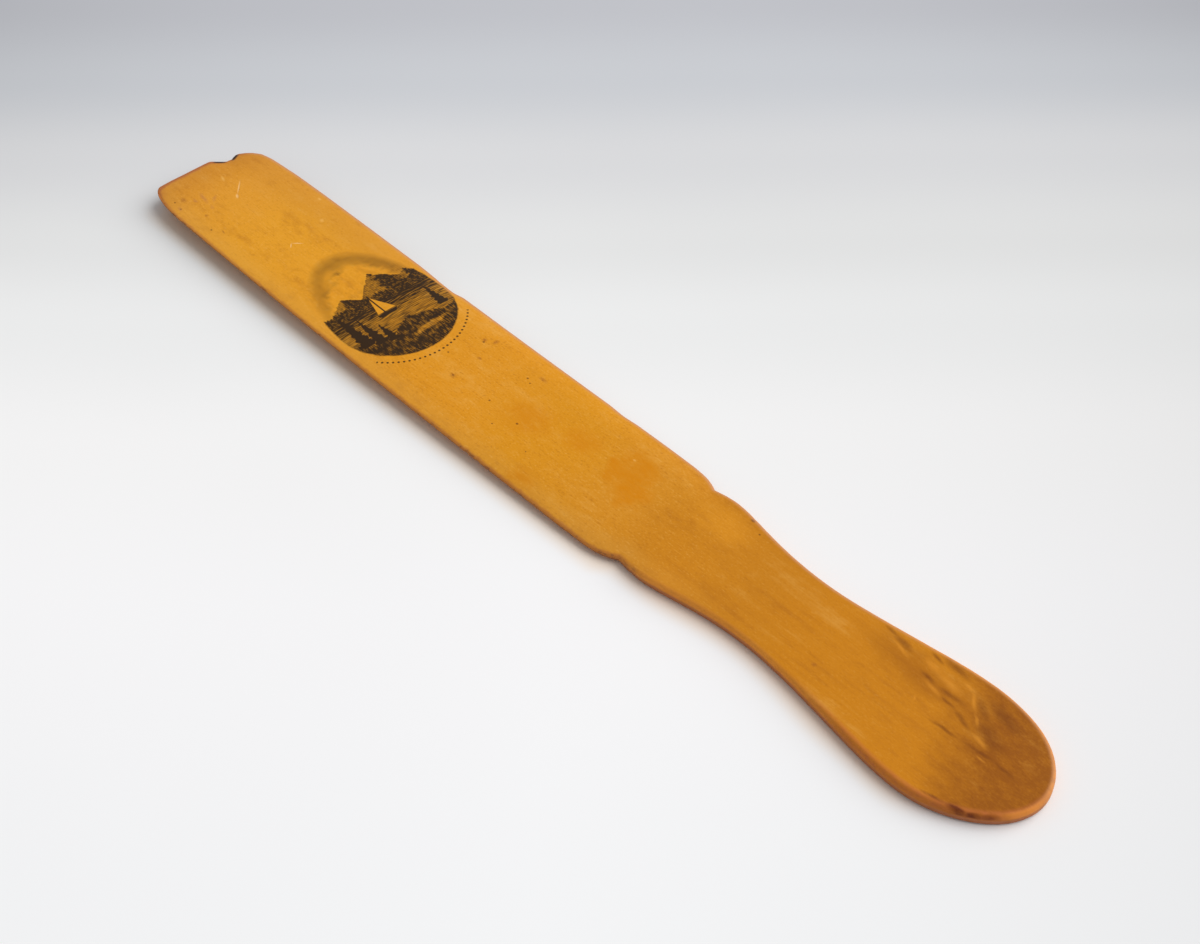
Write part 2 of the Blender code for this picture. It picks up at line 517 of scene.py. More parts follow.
# Varnished wood: colours as the eye sees them, places as (station, offset) in millimetres
wood = {
    "alongColours": [  # share of the length, colour
        (0.00, (221, 149, 45)), (0.15, (229, 157, 37)), (0.40, (223, 147, 29)), (0.50, (219, 145, 23)),
        (0.60, (212, 139, 31)), (0.67, (205, 131, 23)), (0.73, (199, 126, 21)), (0.80, (202, 127, 17)),
        (1.00, (202, 126, 13))],
    "alongWander": 30.0,  # how far blotches carry them along
    "dark": (172, 102, 18),
    "pale": (238, 180, 88),
    "shaded": (186, 122, 48),  # the blade's far side, towards the tip
    "orange": (212, 130, 4),
    "stains": [
        ((184.5, 6.0), (8.5, 9.5), -8), ((189.5, 0.0), (6.0, 6.5), 0), ((180.5, 4.0), (4.0, 8.0), 10)],
    "faintStains": [((151, -0.5), (11, 8.0), 4), ((167, 4.0), (8, 7), 0), ((166, -16), (6, 4), 0)],
    "brown": (150, 84, 6),  # the darkened end of the handle
    "brownLean": 0.42,  # how much earlier it starts on the far side
    "shades": [((277, 8.6), (25, 7.6), -5)],  # thinner brown on the palm's far side
    "glow": (246, 166, 42),  # paler far shoulder
    "glows": [((213, 8.5), (13, 7.0), 0)],
    "smoke": (118, 60, 4),
    "smokeStrokes": [
        ((262.5, 13.5), (267, 13.1), 0.9), ((265.5, 13.2), (271.5, 11.9), 1.6),
        ((275, 15.2), (279.5, 14.3), 0.9), ((276, 9.4), (282.5, 8.2), 0.9), ((281.5, 8.4), (290, 8.6), 1.1),
        ((284, 6.7), (289.5, 6.1), 0.8), ((288.5, 6.2), (295.5, 3.6), 1.0), ((291, 12.6), (297, 8.0), 1.9),
        ((286, -0.4), (296, 0.2), 0.8), ((295.5, 0.3), (305, 1.2), 0.9), ((304, 1.1), (311, 0.6), 0.8),
        ((278, 16.0), (286, 15.2), 1.8), ((293, 13.6), (304, 11.0), 2.6), ((293.5, 8.7), (303.5, 3.7), 3.4)],
    "flame": (228, 148, 42),
    "flameStrokes": [
        ((266, 11.9), (273, 9.7), 0.8), ((275, 12.5), (281, 11.7), 1.7), ((280, 11.6), (287, 10.3), 1.7),
        ((278.5, 7.7), (285, 6.4), 0.9), ((285.6, 13.7), (289, 13.0), 0.8),
        ((288.4, 13.2), (293.2, 8.5), 0.8), ((292.5, 8.8), (296, 5.6), 0.6), ((296, 3.6), (301, 2.6), 0.9),
        ((280, 2.8), (280.8, 1.4), 0.5), ((300.2, -0.5), (303, -0.9), 0.5)],
    "speck": (104, 58, 18),
    "specks": [
        ((28.3, -16.0), (0.5, 0.4), 0), ((10.5, -16.7), (0.45, 0.36), 0), ((14.2, -17.1), (0.4, 0.32), 0),
        ((116.4, 1.0), (0.5, 0.4), 0), ((119.9, 10.8), (0.6, 0.48), 0), ((124.4, -4.0), (0.5, 0.4), 0),
        ((138.8, -3.4), (0.5, 0.4), 0), ((146.0, -8.7), (0.4, 0.32), 0), ((150.6, -4.0), (0.6, 0.48), 0),
        ((160.0, -9.3), (0.35, 0.28), 0), ((139.3, 9.8), (0.55, 0.44), 0), ((141.2, 8.9), (0.4, 0.32), 0),
        ((217.8, 15.3), (1.1, 0.88), 0), ((222.1, 12.9), (0.45, 0.36), 0)],
    "smudge": (152, 86, 32),
    "smudges": [
        ((11.4, -14.3), (2.0, 1.3), -15), ((22.0, -13.3), (1.2, 0.8), 0), ((124.5, -4.1), (1.6, 1.3), 0),
        ((122.3, 13.2), (1.2, 1.8), 0), ((119.5, 11.5), (1.2, 1.2), 0), ((124.2, 5.6), (1.4, 0.8), 0),
        ((142.6, 12.5), (2.4, 1.0), -8), ((258.6, -7.7), (1.1, 0.9), 0), ((31.5, -14.0), (1.6, 0.4), -15)],
    "haze": (188, 122, 68),
    "hazes": [
        ((14.7, -9.2), (4.2, 1.1), -12), ((17.0, -7.0), (2.4, 0.9), -45), ((14.0, -17.2), (1.6, 0.9), 0),
        ((13.8, -11.8), (1.4, 0.8), 0), ((19.5, -9.6), (1.6, 0.9), -20)],
    "scratch": (253, 210, 146),
    "scratches": [
        ((14.2, 4.4), (20.2, -1.0), 0.34), ((19.6, -0.7), (21.2, -1.6), 0.6),
        ((49.0, -2.5), (51.6, 0.3), 0.32), ((49.0, -2.3), (50.8, -3.8), 0.32)],
    "paleSpots": [
        ((9.4, 0.9), (12.0, 0.1), 0.7), ((46.2, 10.8), (47.0, 10.4), 0.9), ((37.2, 16.5), (38.2, 16.4), 0.7),
        ((181.4, 9.0), (182.0, 9.0), 0.5)],
    "rim": (198, 136, 90),  # far edges, pinker and less yellow
    "dusty": (210, 158, 118),  # a paler line along them
    "edge": (174, 100, 58),  # near edge and end of the blade, darker and redder
    "wall": (200, 124, 80),  # the handle's side, less yellow than its face
    "ruddy": (194, 110, 56),  # the palm's near rim
    "lit": (248, 158, 66),  # near rim of the neck, far rim of the palm, and the end
    "low": (118, 74, 58),  # painted shade at the foot of the wall; on the blade's near edge, dark nibbled spots and painted shade under the rim
    # dark marks along the chip's broken edge
    "char": (40, 34, 28),
    "charStrokes": [((1.6, 3.4), (3.9, 6.0), 1.0), ((3.3, 10.7), (4.4, 8.6), 1.15)],
    "red": (100, 42, 18),
    "redStrokes": [((303.5, -15.2), (308.5, -14.0), 0.95), ((308.0, -14.3), (311.2, -12.0), 0.8)],
    "ruddyStrokes": [((297.0, -16.6), (304.0, -15.2), 0.7), ((310.5, -12.5), (314.2, -9.0), 0.7)],
    "grain": {  # noise: size of its lumps, detail, roughness, shift
        "blotch": ((24, 12, 6), 3.0, 0.5, 0.0),
        "mottle": ((4.0, 2.2, 2.0), 3.0, 0.6, 4.0),
        "speckle": ((0.8, 0.5, 0.5), 2.0, 0.6, 9.0),
        "streak": ((60, 5.0, 5.0), 3.0, 0.5, 6.0),
        "thread": ((45, 1.5, 3.0), 2.0, 0.5, 27.0),
        "hair": ((7, 0.32, 0.5), 2.0, 0.5, 12.0),
        "nibble": ((2.4, 1.2, 1.2), 3.0, 0.6, 17.0),
        "drift": ((4.5, 4.5, 4.5), 3.0, 0.5, 21.0),
        "sway": ((4.5, 4.5, 4.5), 3.0, 0.5, 33.0),
    },
    "raggedReach": (9.0, 7.0),  # how far drift and sway carry a stain, along and across
    "waverReach": (2.0, 1.0),  # and a stroke of smoke
    "figure": {  # weights of the noise in the figure, on the blade and on the handle
        "streak": (0.45, 0.75), "blotch": (0.55, 0.55), "mottle": (0.65, 0.45), "thread": (0.1, 0.4)},
    "closeHair": 0.5,  # weight of hair against speckle
    "figureSpan": 0.36,  # noise that is fully dark or pale
    "closeGap": 0.02,  # noise too weak to show
    "zones": {  # stations between which each part sets in or fades
        "end": (2.0, 5.0), "endBand": (3.0, 9.0), "far": (3.0, 7.0), "tip": (4.0, 17.0),
        "shaded": (50.0, 130.0), "root": (95.0, 115.0), "handle": (190.0, 245.0), "grip": (200.0, 216.0),
        "palm": (250.0, 280.0), "brown": (286.0, 306.0), "tail": (310.0, 315.0)},
    "sides": {  # offsets, likewise
        "shaded": (2.0, 16.0), "border": (-12.0, -8.0), "far": (-6.0, 6.0), "grime": (-14.0, -12.0),
        "tailNear": (-11.0, -6.0), "tailFar": (-2.0, 5.0)},
    "bands": {  # distances in from the edge over which each finish fades
        "border": (2.0, 8.0), "rim": (0.3, 1.05), "dusty": (0.2, 1.7), "handled": (0.1, 1.2),
        "end": (0.4, 3.0), "wall": (0.1, 0.5), "crest": (0.6, 2.0), "lit": (0.2, 1.2), "litFar": (0.2, 1.4),
        "grime": (0.05, 0.7), "foot": (0.3, 1.4), "char": (0.7, 1.5)},
    "heights": {  # shares of the wall's height, likewise
        "top": (0.55, 0.95), "wall": (0.25, 1.0), "lit": (0.4, 0.95), "foot": (0.15, 0.8)},
    "softness": {  # share of a mark that its fading edge takes, if not all
        "stains": 0.6, "faintStains": 0.9, "shades": 0.9, "glows": 0.9, "specks": 0.8, "scratches": 0.9,
        "ruddyStrokes": 0.9, "redStrokes": 0.8, "charStrokes": 0.6},
    "cover": {  # how much of the wood each finish hides, a pair for blade and handle
        "figureDark": (0.46, 0.55), "figurePale": 0.35, "closeDark": (0.4, 0.37), "closeRoot": 0.15,
        "closePale": (0.4, 0.16), "shaded": 0.3, "border": 0.17, "faintStains": 0.8, "shades": 0.46,
        "glows": 0.24, "tip": 0.26, "smoke": 0.7, "flame": 0.45, "smudge": 0.62, "haze": 0.6, "speck": 0.8,
        "paleSpots": 0.7, "scratch": 0.58, "dusty": 0.35, "end": 0.3, "ruddyStrokes": 0.6, "red": 0.85,
        "lit": 0.5, "char": 0.95},
    "relief": {"hair": 0.4, "speckle": 0.6, "mottle": 0.6},  # weights of the noise in the bump
    "cutDepth": 1.2,  # of the scratches, in the same measure
    "bump": {"Strength": 0.25, "Distance": 0.00025},
    "roughness": 0.45,
    "roughGrain": 0.2,  # how much blotches and speckle change it
    "roughRim": 0.1,
    "glossInk": 0.06,
    "specular": 0.1,
}
zones, sides, bands, heights, cover = (
    wood[name] for name in ("zones", "sides", "bands", "heights", "cover"))


def coat(colour, name, share):  # one of the wood's colours laid over another
    return colour.paint(tint(*wood[name]), share)


def oval(start, stop, width):  # the oval that a straight stroke fills
    middle = ((start[0] + stop[0]) / 2, (start[1] + stop[1]) / 2)
    run = (stop[0] - start[0], stop[1] - start[1])
    return middle, (math.hypot(*run) / 2 + width, width), math.degrees(math.atan2(run[1], run[0]))


def spot(place, middle, size, turn, edge):  # a soft oval on a pair of wires, 1 inside
    cosine, sine = math.cos(math.radians(turn)), math.sin(math.radians(turn))
    away = 0.0
    for first, second in ((cosine / size[0], sine / size[0]), (-sine / size[1], cosine / size[1])):
        centred = place[1].plus(second, -first * middle[0] - second * middle[1])
        local = place[0].plus(first, centred)
        away = local.plus(local, away)
    return away.root().fall(1 - edge, 1.0)


def strongest(place, ovals, name):
    edge = wood["softness"].get(name, 1.0)
    return reduce(Wire.most, [spot(place, *mark, edge) for mark in ovals])


def laidMarks(place, name):
    return strongest(place, wood[name], name)


def laidStrokes(place, name):
    return strongest(place, [oval(*stroke) for stroke in wood[name]], name)


# The printed view: a plain lake scene in an oval, up towards the tip, right to the far edge
view = {
    "centre": (85.8, 0.4),
    "half": 18.0,  # half its width, millimetres
    "lowCentre": -8.0,  # middle of its round lower part
    "top": 26.0,
    "ink": (40, 25, 9),
    "strength": 0.985,
    "sky": 0.4,
    "skyFrom": (0.70, 0.84),  # shares of the way out where the sky sets in
    "skyTo": (0.86, 1.02),  # and fades
    "skyLeft": (-15.0, -3.0, 0.45),  # it is this much paler to the left
    "puffs": 0.22,  # clouds inside it
    "lineGap": 0.62,  # engraved lines
    "lineDepth": 0.6,
    "noise": {  # size of its lumps, detail, roughness, shift
        "billow": ((7.0, 5.0, 1), 4.0, 0.55, 2.0),
        "lump": ((2.6, 2.6, 1), 3.0),
        "fine": ((0.8, 0.8, 1), 2.0),
        "strokes": ((0.45, 2.2, 1), 2.0),
        "ripple": ((3.6, 0.5, 1), 2.0),
        "press": ((1.2, 1.2, 1), 3.0, 0.6, 5.0),
    },
    "peaks": [(5.0, 12.5, 0.95), (-8.0, 8.5, 0.8), (14.0, 7.5, 0.6)],  # right, height, slope
    "shore": -1.4,
    "woodland": 3.4,  # its height above the shore
    "treeGap": 0.95,
    "mirrored": 7.0,  # how far down the water is darker
    "bank": -13.2,
    "meadow": ((4.5, -18.2), (8.0, 1.5), 4, 0.6),  # middle, half size, turn, softness
    "firs": [  # right, base, height, half width
        (-13.4, -14.0, 18.0, 2.9), (-9.8, -15.5, 14.0, 2.5), (-6.4, -16.5, 9.5, 2.1),
        (13.4, -13.5, 11.0, 2.3)],
    "boughs": 7,
    "boat": {"place": -1.5, "line": -6.2, "mast": 9.0, "sail": 4.2, "jib": 2.6, "hull": 3.4},
    "beads": (20.4, 1.5, 0.42, 0.92),  # radius, spacing, bead radius, half angle
}


def printedView(along, across):  # how much ink lies at each place
    right = across - view["centre"][1]
    up = view["centre"][0] - along
    flat = right.node("ShaderNodeCombineXYZ", None, {0: right, 1: up})
    noises = {name: flat.clouds(*how) for name, how in view["noise"].items()}
    lowUp = up - view["lowCentre"]
    squat = lowUp.least(lowUp * (view["half"] / (view["top"] - view["lowCentre"])))
    reach = (right * right + squat * squat).root() / view["half"]
    picture = SimpleNamespace(right=right, up=up, reach=reach, **noises)
    tone = sky(picture)
    for layer in (hills, lake, sailingBoat, bank, firs):
        tone = layer(tone, picture)

    # Fine engraved lines show in the middle tones only, and the ink takes unevenly
    tone = tone.most(0.0).least(1.0)
    lines = ((up + 0.5 * picture.lump) * (2 * math.pi / view["lineGap"])).sine()
    share = tone + view["lineDepth"] * lines * tone * (1 - tone)
    pressed = 1.1 + 0.4 * picture.press
    framed = (reach + 0.05 * picture.lump).fall(0.965, 1.0)
    return (share * pressed * framed).most(0.0).least(1.0).most(beadArc(right, lowUp))


def sky(picture):  # darker to its rim, where it fades out, with puffs of cloud inside
    low, high, paler = view["skyLeft"]
    inner = (picture.reach + 0.3 * picture.billow).rise(*view["skyFrom"])
    tone = inner * picture.reach.fall(*view["skyTo"]) * (view["sky"] + 0.4 * picture.ripple)
    tone = tone * (1 - paler * picture.right.fall(low, high))
    return tone + picture.billow.rise(0.02, 0.3) * picture.reach.fall(0.7, 0.95) * view["puffs"]


def hills(tone, picture):  # hills, with woodland along the shore
    ridges, shades = [], []
    for place, height, slope in view["peaks"]:
        aside = picture.right - place
        ridges.append(height - abs(aside) * slope)
        shades.append((aside + 6 * picture.lump).rise(-0.7, 0.7) * abs(aside).fall(4.0, 8.0))
    ridge, shade = reduce(Wire.most, ridges), reduce(Wire.most, shades)
    slopes = (ridge + view["shore"] + 2.4 * picture.lump + picture.fine - picture.up).rise(0.0, 0.4)
    tone = tone.over(0.55 + 0.36 * shade + 0.9 * picture.fine, slopes)
    crowns = view["woodland"] + 6 * picture.lump + 1.6 * (picture.right / view["treeGap"]).zigzag()
    woodland = (crowns + view["shore"] - picture.up).rise(0.0, 0.35)
    return tone.over(0.88 + 0.9 * picture.fine + 0.5 * picture.lump, woodland)


def lake(tone, picture):
    water = picture.up.fall(view["shore"] - 0.3, view["shore"])
    mirrored = picture.up.rise(view["shore"] - view["mirrored"], view["shore"])
    return tone.over(0.56 + 0.42 * mirrored + 1.6 * picture.ripple, water)


def sailingBoat(tone, picture):
    boat = view["boat"]
    aside = picture.right - boat["place"]
    above = picture.up - boat["line"]
    taper = 1 - above / boat["mast"]
    sail = (boat["sail"] * taper - aside).rise(0.0, 0.25) * aside.rise(0.1, 0.3)
    jib = (boat["jib"] * taper + aside).rise(0.0, 0.25) * aside.fall(-0.3, -0.1)
    tone = tone.over(0.02, sail.most(jib) * above.rise(0.7, 0.9))
    hull = (boat["hull"] - abs(aside - 0.4) + 0.8 * above).rise(0.0, 0.3)
    tone = tone.over(1.0, hull * above.rise(-1.0, -0.8) * above.fall(0.3, 0.5))
    mast = abs(aside).fall(0.12, 0.3) * above.fall(boat["mast"], boat["mast"] + 0.4) * above.rise(0.0, 0.2)
    return tone.over(1.0, mast)


def bank(tone, picture):  # the near bank, with a paler meadow
    crest = view["bank"] + 1.9 * (picture.right * 0.3 + 0.8).sine()
    ground = (crest + 3 * picture.lump + 2.4 * picture.strokes - picture.up).rise(0.0, 0.3)
    meadow = spot((picture.right, picture.up), *view["meadow"])
    return tone.over(0.9 + 1.4 * picture.strokes + 0.9 * picture.lump - 0.5 * meadow, ground)


def firs(tone, picture):
    for place, base, height, half in view["firs"]:
        climb = (picture.up - base) / height
        boughs = 0.66 + 0.68 * (climb * view["boughs"]).zigzag()
        fir = (half * (1 - climb) * boughs + 1.3 * picture.fine - abs(picture.right - place)).rise(0.0, 0.3)
        tone = tone.over(1.0, fir * climb.rise(-0.02, 0.01) * climb.fall(0.97, 1.0))
    return tone


def beadArc(right, lowUp):  # a row of beads round the lower half
    radius, gap, bead, reach = view["beads"]
    away = (right * right + lowUp * lowUp).root() - radius
    angle = right.math("ARCTAN2", right, 0 - lowUp)
    along = ((angle * (radius / gap)).fraction() - 0.5) * gap
    dots = (away * away + along * along).fall((bead * 0.6) ** 2, bead ** 2)
    return dots * abs(angle).fall(reach, reach + 0.01) * 0.9


def woodFace(start):  # the wires that the finishes share
    place = start.node("ShaderNodeTexCoord", out="Object")
    solid = place.vector("MULTIPLY_ADD", place, (1 / mm,) * 3, (-bodyLow.x / mm, 0.0, 0.0))
    along, across = (solid.node("ShaderNodeSeparateXYZ", None, {0: solid}, axis) for axis in (0, 1))
    inset, upper = (start.node("ShaderNodeAttribute", {"attribute_name": name}, out="Fac")
                    for name in ("rimInset", "upperFace"))
    grain = {name: solid.clouds(*how) for name, how in wood["grain"].items()}
    face = SimpleNamespace(along=along, across=across, inset=inset, upper=upper, grain=grain)
    face.top = upper.rise(*heights["top"])
    face.handle = along.rise(*zones["handle"])
    face.plan = (along, across)
    face.ragged, face.waver = (
        (grain["drift"].plus(reach[0], along), grain["sway"].plus(reach[1], across))
        for reach in (wood["raggedReach"], wood["waverReach"]))
    return face


def varied(face, blade, held):  # one value on the blade, another on the handle
    return blade + (held - blade) * face.handle


def bareWood(face):  # a slow change along the slat, its figure and close speckle
    stops = [(position, tint(*shade)) for position, shade in wood["alongColours"]]
    along = (face.along + wood["alongWander"] * face.grain["blotch"]) / length
    colour = along.node("ShaderNodeValToRGB", {"stops": stops}, {0: along})
    span, gap = wood["figureSpan"], wood["closeGap"]
    figure = sum(face.grain[name] * varied(face, *weights) for name, weights in wood["figure"].items())
    colour = coat(colour, "dark", figure.rise(0.0, span) * varied(face, *cover["figureDark"]))
    colour = coat(colour, "pale", figure.fall(-span, 0.0) * cover["figurePale"])
    close = face.grain["speckle"] + wood["closeHair"] * face.grain["hair"]
    root = face.along.rise(*zones["root"]) * (1 - face.handle)
    closeDark = varied(face, *cover["closeDark"]) + cover["closeRoot"] * root
    colour = coat(colour, "dark", close.rise(gap, span) * closeDark)
    colour = coat(colour, "pale", close.fall(-span, -gap) * varied(face, *cover["closePale"]))
    shaded = face.along.fall(*zones["shaded"]) * face.across.rise(*sides["shaded"])
    colour = coat(colour, "shaded", shaded * cover["shaded"])
    # a paler band along the blade's near border: painted light, lifting the shade where its top slopes down
    # to the edge
    border = face.inset.fall(*bands["border"]) * face.across.fall(*sides["border"])
    return coat(colour, "pale", border * (1 - face.handle) * cover["border"])


def stained(colour, face):  # stains, the darkened end of the handle and its smoky figure
    mottle, speckle = face.grain["mottle"], face.grain["speckle"]
    faint = laidMarks(face.ragged, "faintStains") * cover["faintStains"]
    stains = laidMarks(face.ragged, "stains").most(faint)
    colour = coat(colour, "orange", stains * face.top * (0.7 + 1.6 * mottle))
    leaning = face.along + wood["brownLean"] * face.across
    darkened = (leaning + 14 * face.grain["blotch"] + 12 * face.grain["streak"]).rise(*zones["brown"])
    colour = coat(colour, "brown", darkened * (0.9 + 0.9 * mottle + 0.5 * speckle))
    colour = coat(colour, "brown", laidMarks(face.ragged, "shades") * face.top * cover["shades"])
    colour = coat(colour, "glow", laidMarks(face.ragged, "glows") * face.top * cover["glows"])
    colour = coat(colour, "dark", face.along.fall(*zones["tip"]) * face.top * cover["tip"])
    smoke = laidStrokes(face.waver, "smokeStrokes") * (0.9 + 1.2 * mottle)
    colour = coat(colour, "smoke", smoke * face.top * cover["smoke"])
    return coat(colour, "flame", laidStrokes(face.waver, "flameStrokes") * face.top * cover["flame"])


def marked(colour, face, cut):  # marks of use on the upper face
    patchy = (0.8 + 1.6 * face.grain["speckle"] + 1.2 * face.grain["mottle"]) * face.top
    colour = coat(colour, "smudge", laidMarks(face.plan, "smudges") * patchy * cover["smudge"])
    colour = coat(colour, "haze", laidMarks(face.waver, "hazes") * patchy * cover["haze"])
    colour = coat(colour, "speck", laidMarks(face.plan, "specks") * face.top * cover["speck"])
    colour = coat(colour, "pale", laidStrokes(face.plan, "paleSpots") * face.top * cover["paleSpots"])
    return coat(colour, "scratch", cut * cover["scratch"])


def edged(colour, face, rim, far, grip):  # rims and walls: redder, with painted shade at the foot and painted highlights round the handle
    along, across, inset, upper = face.along, face.across, face.inset, face.upper
    nibble = face.grain["nibble"]
    near = 1 - far
    palm = along.rise(*zones["palm"])
    colour = coat(colour, "dusty", inset.fall(*bands["dusty"]) * far * cover["dusty"])
    colour = coat(colour, "rim", rim * far * (0.95 - 0.2 * grip - 0.35 * palm))

    end = along.fall(*zones["end"])
    handled = (inset + 1.2 * nibble - 0.7 * end).fall(*bands["handled"])
    colour = coat(colour, "edge", handled * near * (0.6 + 0.2 * end) * (1 - grip))
    endBand = inset.fall(*bands["end"]) * along.fall(*zones["endBand"])
    colour = coat(colour, "edge", endBand * cover["end"])

    wall = inset.fall(*bands["wall"]) * upper.fall(*heights["wall"]) * near * grip
    colour = coat(colour, "wall", wall * (0.85 + 1.5 * nibble))
    crest = inset.fall(*bands["crest"]) * face.top
    colour = coat(colour, "ruddy", crest * near * palm * (0.6 + nibble))
    red = laidStrokes(face.plan, "redStrokes")
    red = red.most(laidStrokes(face.plan, "ruddyStrokes") * cover["ruddyStrokes"]) * (1.0 + 2.5 * nibble)
    colour = coat(colour, "red", red.least(1.0) * face.top * cover["red"])

    tail = along.rise(*zones["tail"]) * across.rise(*sides["tailNear"]) * across.fall(*sides["tailFar"])
    nearLit = (tail + near * grip * (1 - palm)).least(1.0)
    lit = inset.fall(*bands["lit"]) * upper.rise(*heights["lit"]) * nearLit
    lit = lit.most(inset.fall(*bands["litFar"]) * far * palm * (0.55 + 2.0 * nibble))
    colour = coat(colour, "lit", lit * cover["lit"])

    # painted shade under the blade's near rim, broken into nibbled spots, and at the foot of the walls
    grime = inset.fall(*bands["grime"]) * nibble.rise(0.0, 0.16) * across.fall(*sides["grime"])
    foot = upper.fall(*heights["foot"]) * inset.fall(*bands["foot"]) * (1 - lit)
    colour = coat(colour, "low", foot.most(grime * (1 - 0.7 * grip)) * (0.65 - 0.25 * grip))
    char = laidStrokes(face.plan, "charStrokes") * inset.fall(*bands["char"])
    return coat(colour, "char", char * cover["char"])


def varnishedWood():
    material = bpy.data.materials.new("varnished_wood")
    material.use_nodes = True
    tree = material.node_tree
    shader = tree.nodes["Principled BSDF"]
    start = Wire(tree)
    face = woodFace(start)
    grain = face.grain
    cut = laidStrokes(face.plan, "scratches") * face.top
    colour = marked(stained(bareWood(face), face), face, cut)
    ink = printedView(face.along, face.across) * face.top
    colour = colour.paint(tint(*view["ink"]), ink * view["strength"])
    far = face.across.rise(*sides["far"]) * face.along.rise(*zones["far"])
    grip = face.along.rise(*zones["grip"])
    rim = (face.inset + 0.5 * grain["nibble"] - 0.3 * grip * far).fall(*bands["rim"])
    colour = edged(colour, face, rim, far, grip)

    rough = wood["roughness"] + wood["roughGrain"] * (grain["blotch"] + grain["speckle"])
    rough = rough + wood["roughRim"] * rim - wood["glossInk"] * ink
    height = sum(grain[name] * weight for name, weight in wood["relief"].items()) - wood["cutDepth"] * cut
    bump = start.node("ShaderNodeBump", None, {**wood["bump"], "Height": height})
    start.feed(shader.inputs["Base Color"], colour)
    start.feed(shader.inputs["Roughness"], rough)
    start.feed(shader.inputs["Normal"], bump)
    shader.inputs["Specular IOR Level"].default_value = wood["specular"]
    print("wood finished:", len(tree.nodes), "nodes")
    return material


# The paper sweep that it lies on, a little hollow under the blade
table = {
    "reach": 30.0,  # metres from the middle to the edge
    "cells": 160,
    "fineness": 7.2,  # how much closer the cells are in the middle
    "gap": 0.02,  # millimetres below the slat
    "hollow": 2.35,  # millimetres deep
    "hollowFrom": (92.0, 232.0),  # stations: full depth, and level under the handle
    "hollowTip": (-20.0, 65.0, 0.5),  # towards the tip it loses this share of its depth
    "hollowEnds": (-250.0, -50.0),  # level again, past the tip
    "hollowAside": (60.0, 180.0),  # to each side
    "away": (-0.7327, 0.6806, 0.0),  # from the camera, over the table
    "sideways": (0.6806, 0.7327, 0.0),
    "span": (-0.2, 0.3),  # metres along "away" that these colours take up
    "colours": [
        (0.10, (249, 249, 249)), (0.28, (251, 250, 250)), (0.40, (249, 248, 247)), (0.50, (241, 241, 240)),
        (0.572, (232, 232, 231)), (0.654, (222, 222, 223)), (0.742, (206, 208, 212)),
        (0.832, (196, 197, 202)), (1.0, (180, 182, 189))],
    "falloff": (2.2, 1.6),  # how it dims to the sides, and how much more further off
    "lopsided": (0.5, 0.1),  # dimmer to the right, in front and further off
    "front": (0.0, 0.2),  # metres along "away" where the front ends
    "further": (0.1, 0.22),  # and where further off begins
    "dimmest": 0.3,
    "plainPast": (0.28, 0.9),  # metres to each side over which the dimming ends
    "plainNear": (-0.5, -0.2),  # and towards the camera
    "warmth": (1.0, 0.88, 0.76, 1.0),  # light off the wood, beside its near edge
    "warmReach": (0.0, 6.0),  # millimetres out from that edge
    "warmUnder": (-30.0, -15.0),  # and in under the slat
    "warmFrom": (-0.01, 0.04),  # shares of the slat's length
    "warmTo": (0.9, 0.97),
    "edge": [  # station and half width of the near edge
        (0, 19), (5, 20), (198, 20), (205, 17), (214, 17), (243, 13.5), (275, 17.5), (292, 18.7), (318, 9)],
}


def tableHeight(x, y):  # millimetres
    station = (x - bodyLow.x) / mm
    low, high, share = table["hollowTip"]
    depth = table["hollow"] * (1 - soft(station, *table["hollowFrom"]))
    depth *= 1 - share * (1 - soft(station, low, high))
    depth *= soft(station, *table["hollowEnds"]) * (1 - soft(abs(y) / mm, *table["hollowAside"]))
    return -depth - table["gap"]


def spread(share):  # close together in the middle of the table, far apart at its edges
    return table["reach"] * math.sinh(table["fineness"] * share) / math.sinh(table["fineness"])


def backdrop(place):  # paler towards the camera, dimmer away from it and to the sides: painted light falloff
    away, aside = (place.vector("DOT_PRODUCT", place, table[name], out=1) for name in ("away", "sideways"))
    low, high = table["span"]
    stops = [(position, tint(*shade)) for position, shade in table["colours"]]
    colour = place.node("ShaderNodeValToRGB", {"stops": stops}, {0: (away - low) / (high - low)})
    further = away.rise(*table["further"])
    falloff = table["falloff"][0] + table["falloff"][1] * further
    tilt = table["lopsided"][0] * away.fall(*table["front"]) + table["lopsided"][1] * further
    dimmed = (aside * aside * falloff + aside * tilt).most(0.0).least(table["dimmest"])
    dimmed = dimmed * abs(aside).fall(*table["plainPast"]) * away.rise(*table["plainNear"])
    return colour.paint((0.0, 0.0, 0.0, 1.0), dimmed)


def warmed(colour, place):  # painted light off the wood: a warm tint beside the slat's near edge and in under it
    x, y = (place.node("ShaderNodeSeparateXYZ", None, {0: place}, axis) for axis in (0, 1))
    along = (x - bodyLow.x) / (length * mm)
    widths = [(station / length, (half / bladeHalf,) * 3 + (1.0,)) for station, half in table["edge"]]
    edge = place.node("ShaderNodeValToRGB", {"stops": widths}, {0: along}) * bladeHalf
    beyond = 0 - y / mm - edge
    beside = beyond.fall(*table["warmReach"]) * beyond.rise(*table["warmUnder"])
    beside = beside * along.rise(*table["warmFrom"]) * along.fall(*table["warmTo"])
    return colour.node("ShaderNodeMix", {"data_type": "RGBA", "blend_type": "MULTIPLY"},
                       {0: beside, 6: colour, 7: table["warmth"]}, 2)


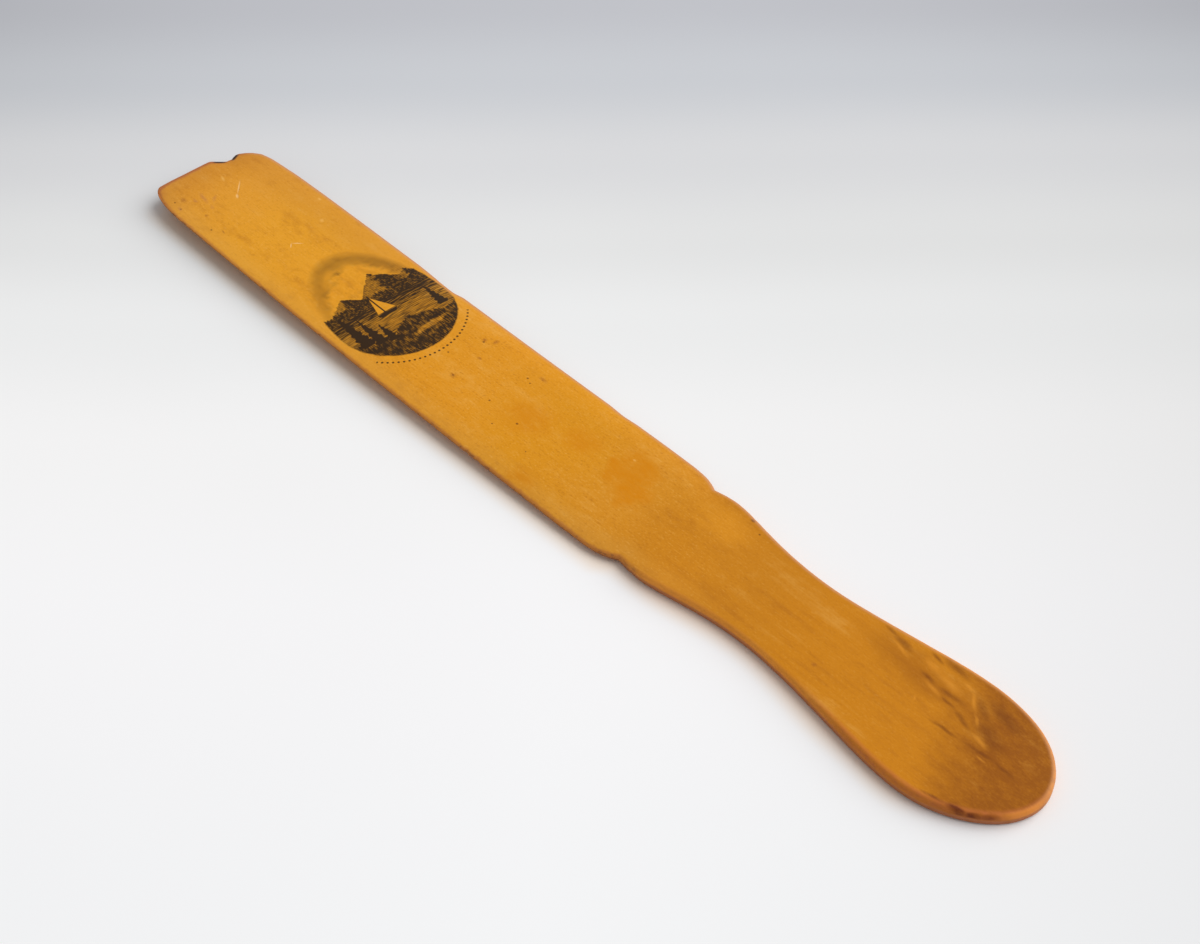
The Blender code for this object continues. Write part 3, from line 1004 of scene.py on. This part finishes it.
def makeTable():
    bpy.ops.object.select_all(action="DESELECT")
    bpy.ops.mesh.primitive_grid_add(x_subdivisions=table["cells"], y_subdivisions=table["cells"], size=2)
    top = bpy.context.object
    top.name = "table_top"
    for vertex in top.data.vertices:
        x, y = spread(vertex.co.x), spread(vertex.co.y)
        vertex.co = (x, y, tableHeight(x, y) * mm)
    bpy.ops.object.shade_smooth()
    material = bpy.data.materials.new("table_paper")
    material.use_nodes = True
    shader = material.node_tree.nodes["Principled BSDF"]
    place = Wire(material.node_tree).node("ShaderNodeTexCoord", out="Object")
    place.feed(shader.inputs["Base Color"], warmed(backdrop(place), place))
    shader.inputs["Roughness"].default_value = 1.0
    shader.inputs["Specular IOR Level"].default_value = 0.0
    top.data.materials.append(material)
    print("table laid")


# A soft box over the far side, towards the handle, in an evenly lit room
studio = {
    "towards": (0.36, 0.62, 0.63),  # where the lamp stands, seen from the slat
    "distance": 3.2,
    "size": 4.4,
    "watts": 124.0,
    "around": (0.415, 0.42, 0.43, 1.0),  # even light from the room
    "seen": (0.80, 0.80, 0.82, 1.0),  # what the camera and gloss see past the table
}


def lightStudio():
    towards = Vector(studio["towards"]).normalized()
    bpy.ops.object.light_add(type="AREA", location=towards * studio["distance"])
    lamp = bpy.context.object
    lamp.name = "soft_box"
    lamp.rotation_euler = (-towards).to_track_quat("-Z", "Y").to_euler()
    lamp.data.shape = "DISK"
    lamp.data.size = studio["size"]
    lamp.data.energy = studio["watts"]
    world = bpy.data.worlds.new("studio")
    world.use_nodes = True
    bpy.context.scene.world = world
    room = Wire(world.node_tree)
    rays = ("Is Camera Ray", "Is Glossy Ray", "Is Transmission Ray")
    seen = reduce(Wire.most, [room.node("ShaderNodeLightPath", out=ray) for ray in rays])
    around = room.node("ShaderNodeRGB")
    around.socket.default_value = studio["around"]
    background = world.node_tree.nodes["Background"]
    room.feed(background.inputs["Color"], around.paint(studio["seen"], seen))
    print("studio lit")


# The camera, in metres and degrees
shot = {
    "place": (0.254720, -0.221300, 0.332160),
    "turn": 46.778,  # round from +Y
    "down": 45.604,  # below level
    "lens": 54.0,
    "sensor": 36.0,
    "clip": 0.01,
}


def setCamera():
    bpy.ops.object.camera_add(location=shot["place"])
    camera = bpy.context.object
    camera.rotation_euler = (math.radians(90 - shot["down"]), 0.0, math.radians(shot["turn"]))
    camera.data.lens = shot["lens"]
    camera.data.sensor_width = shot["sensor"]
    camera.data.clip_start = shot["clip"]
    bpy.context.scene.camera = camera
    bpy.context.scene.view_settings.view_transform = "Standard"
    print("camera set")


setCamera()
slatPiece = makeSlat()
slatPiece.data.materials.append(varnishedWood())
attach(slatPiece, "root")
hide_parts("page_turner_body")
makeTable()
lightStudio()
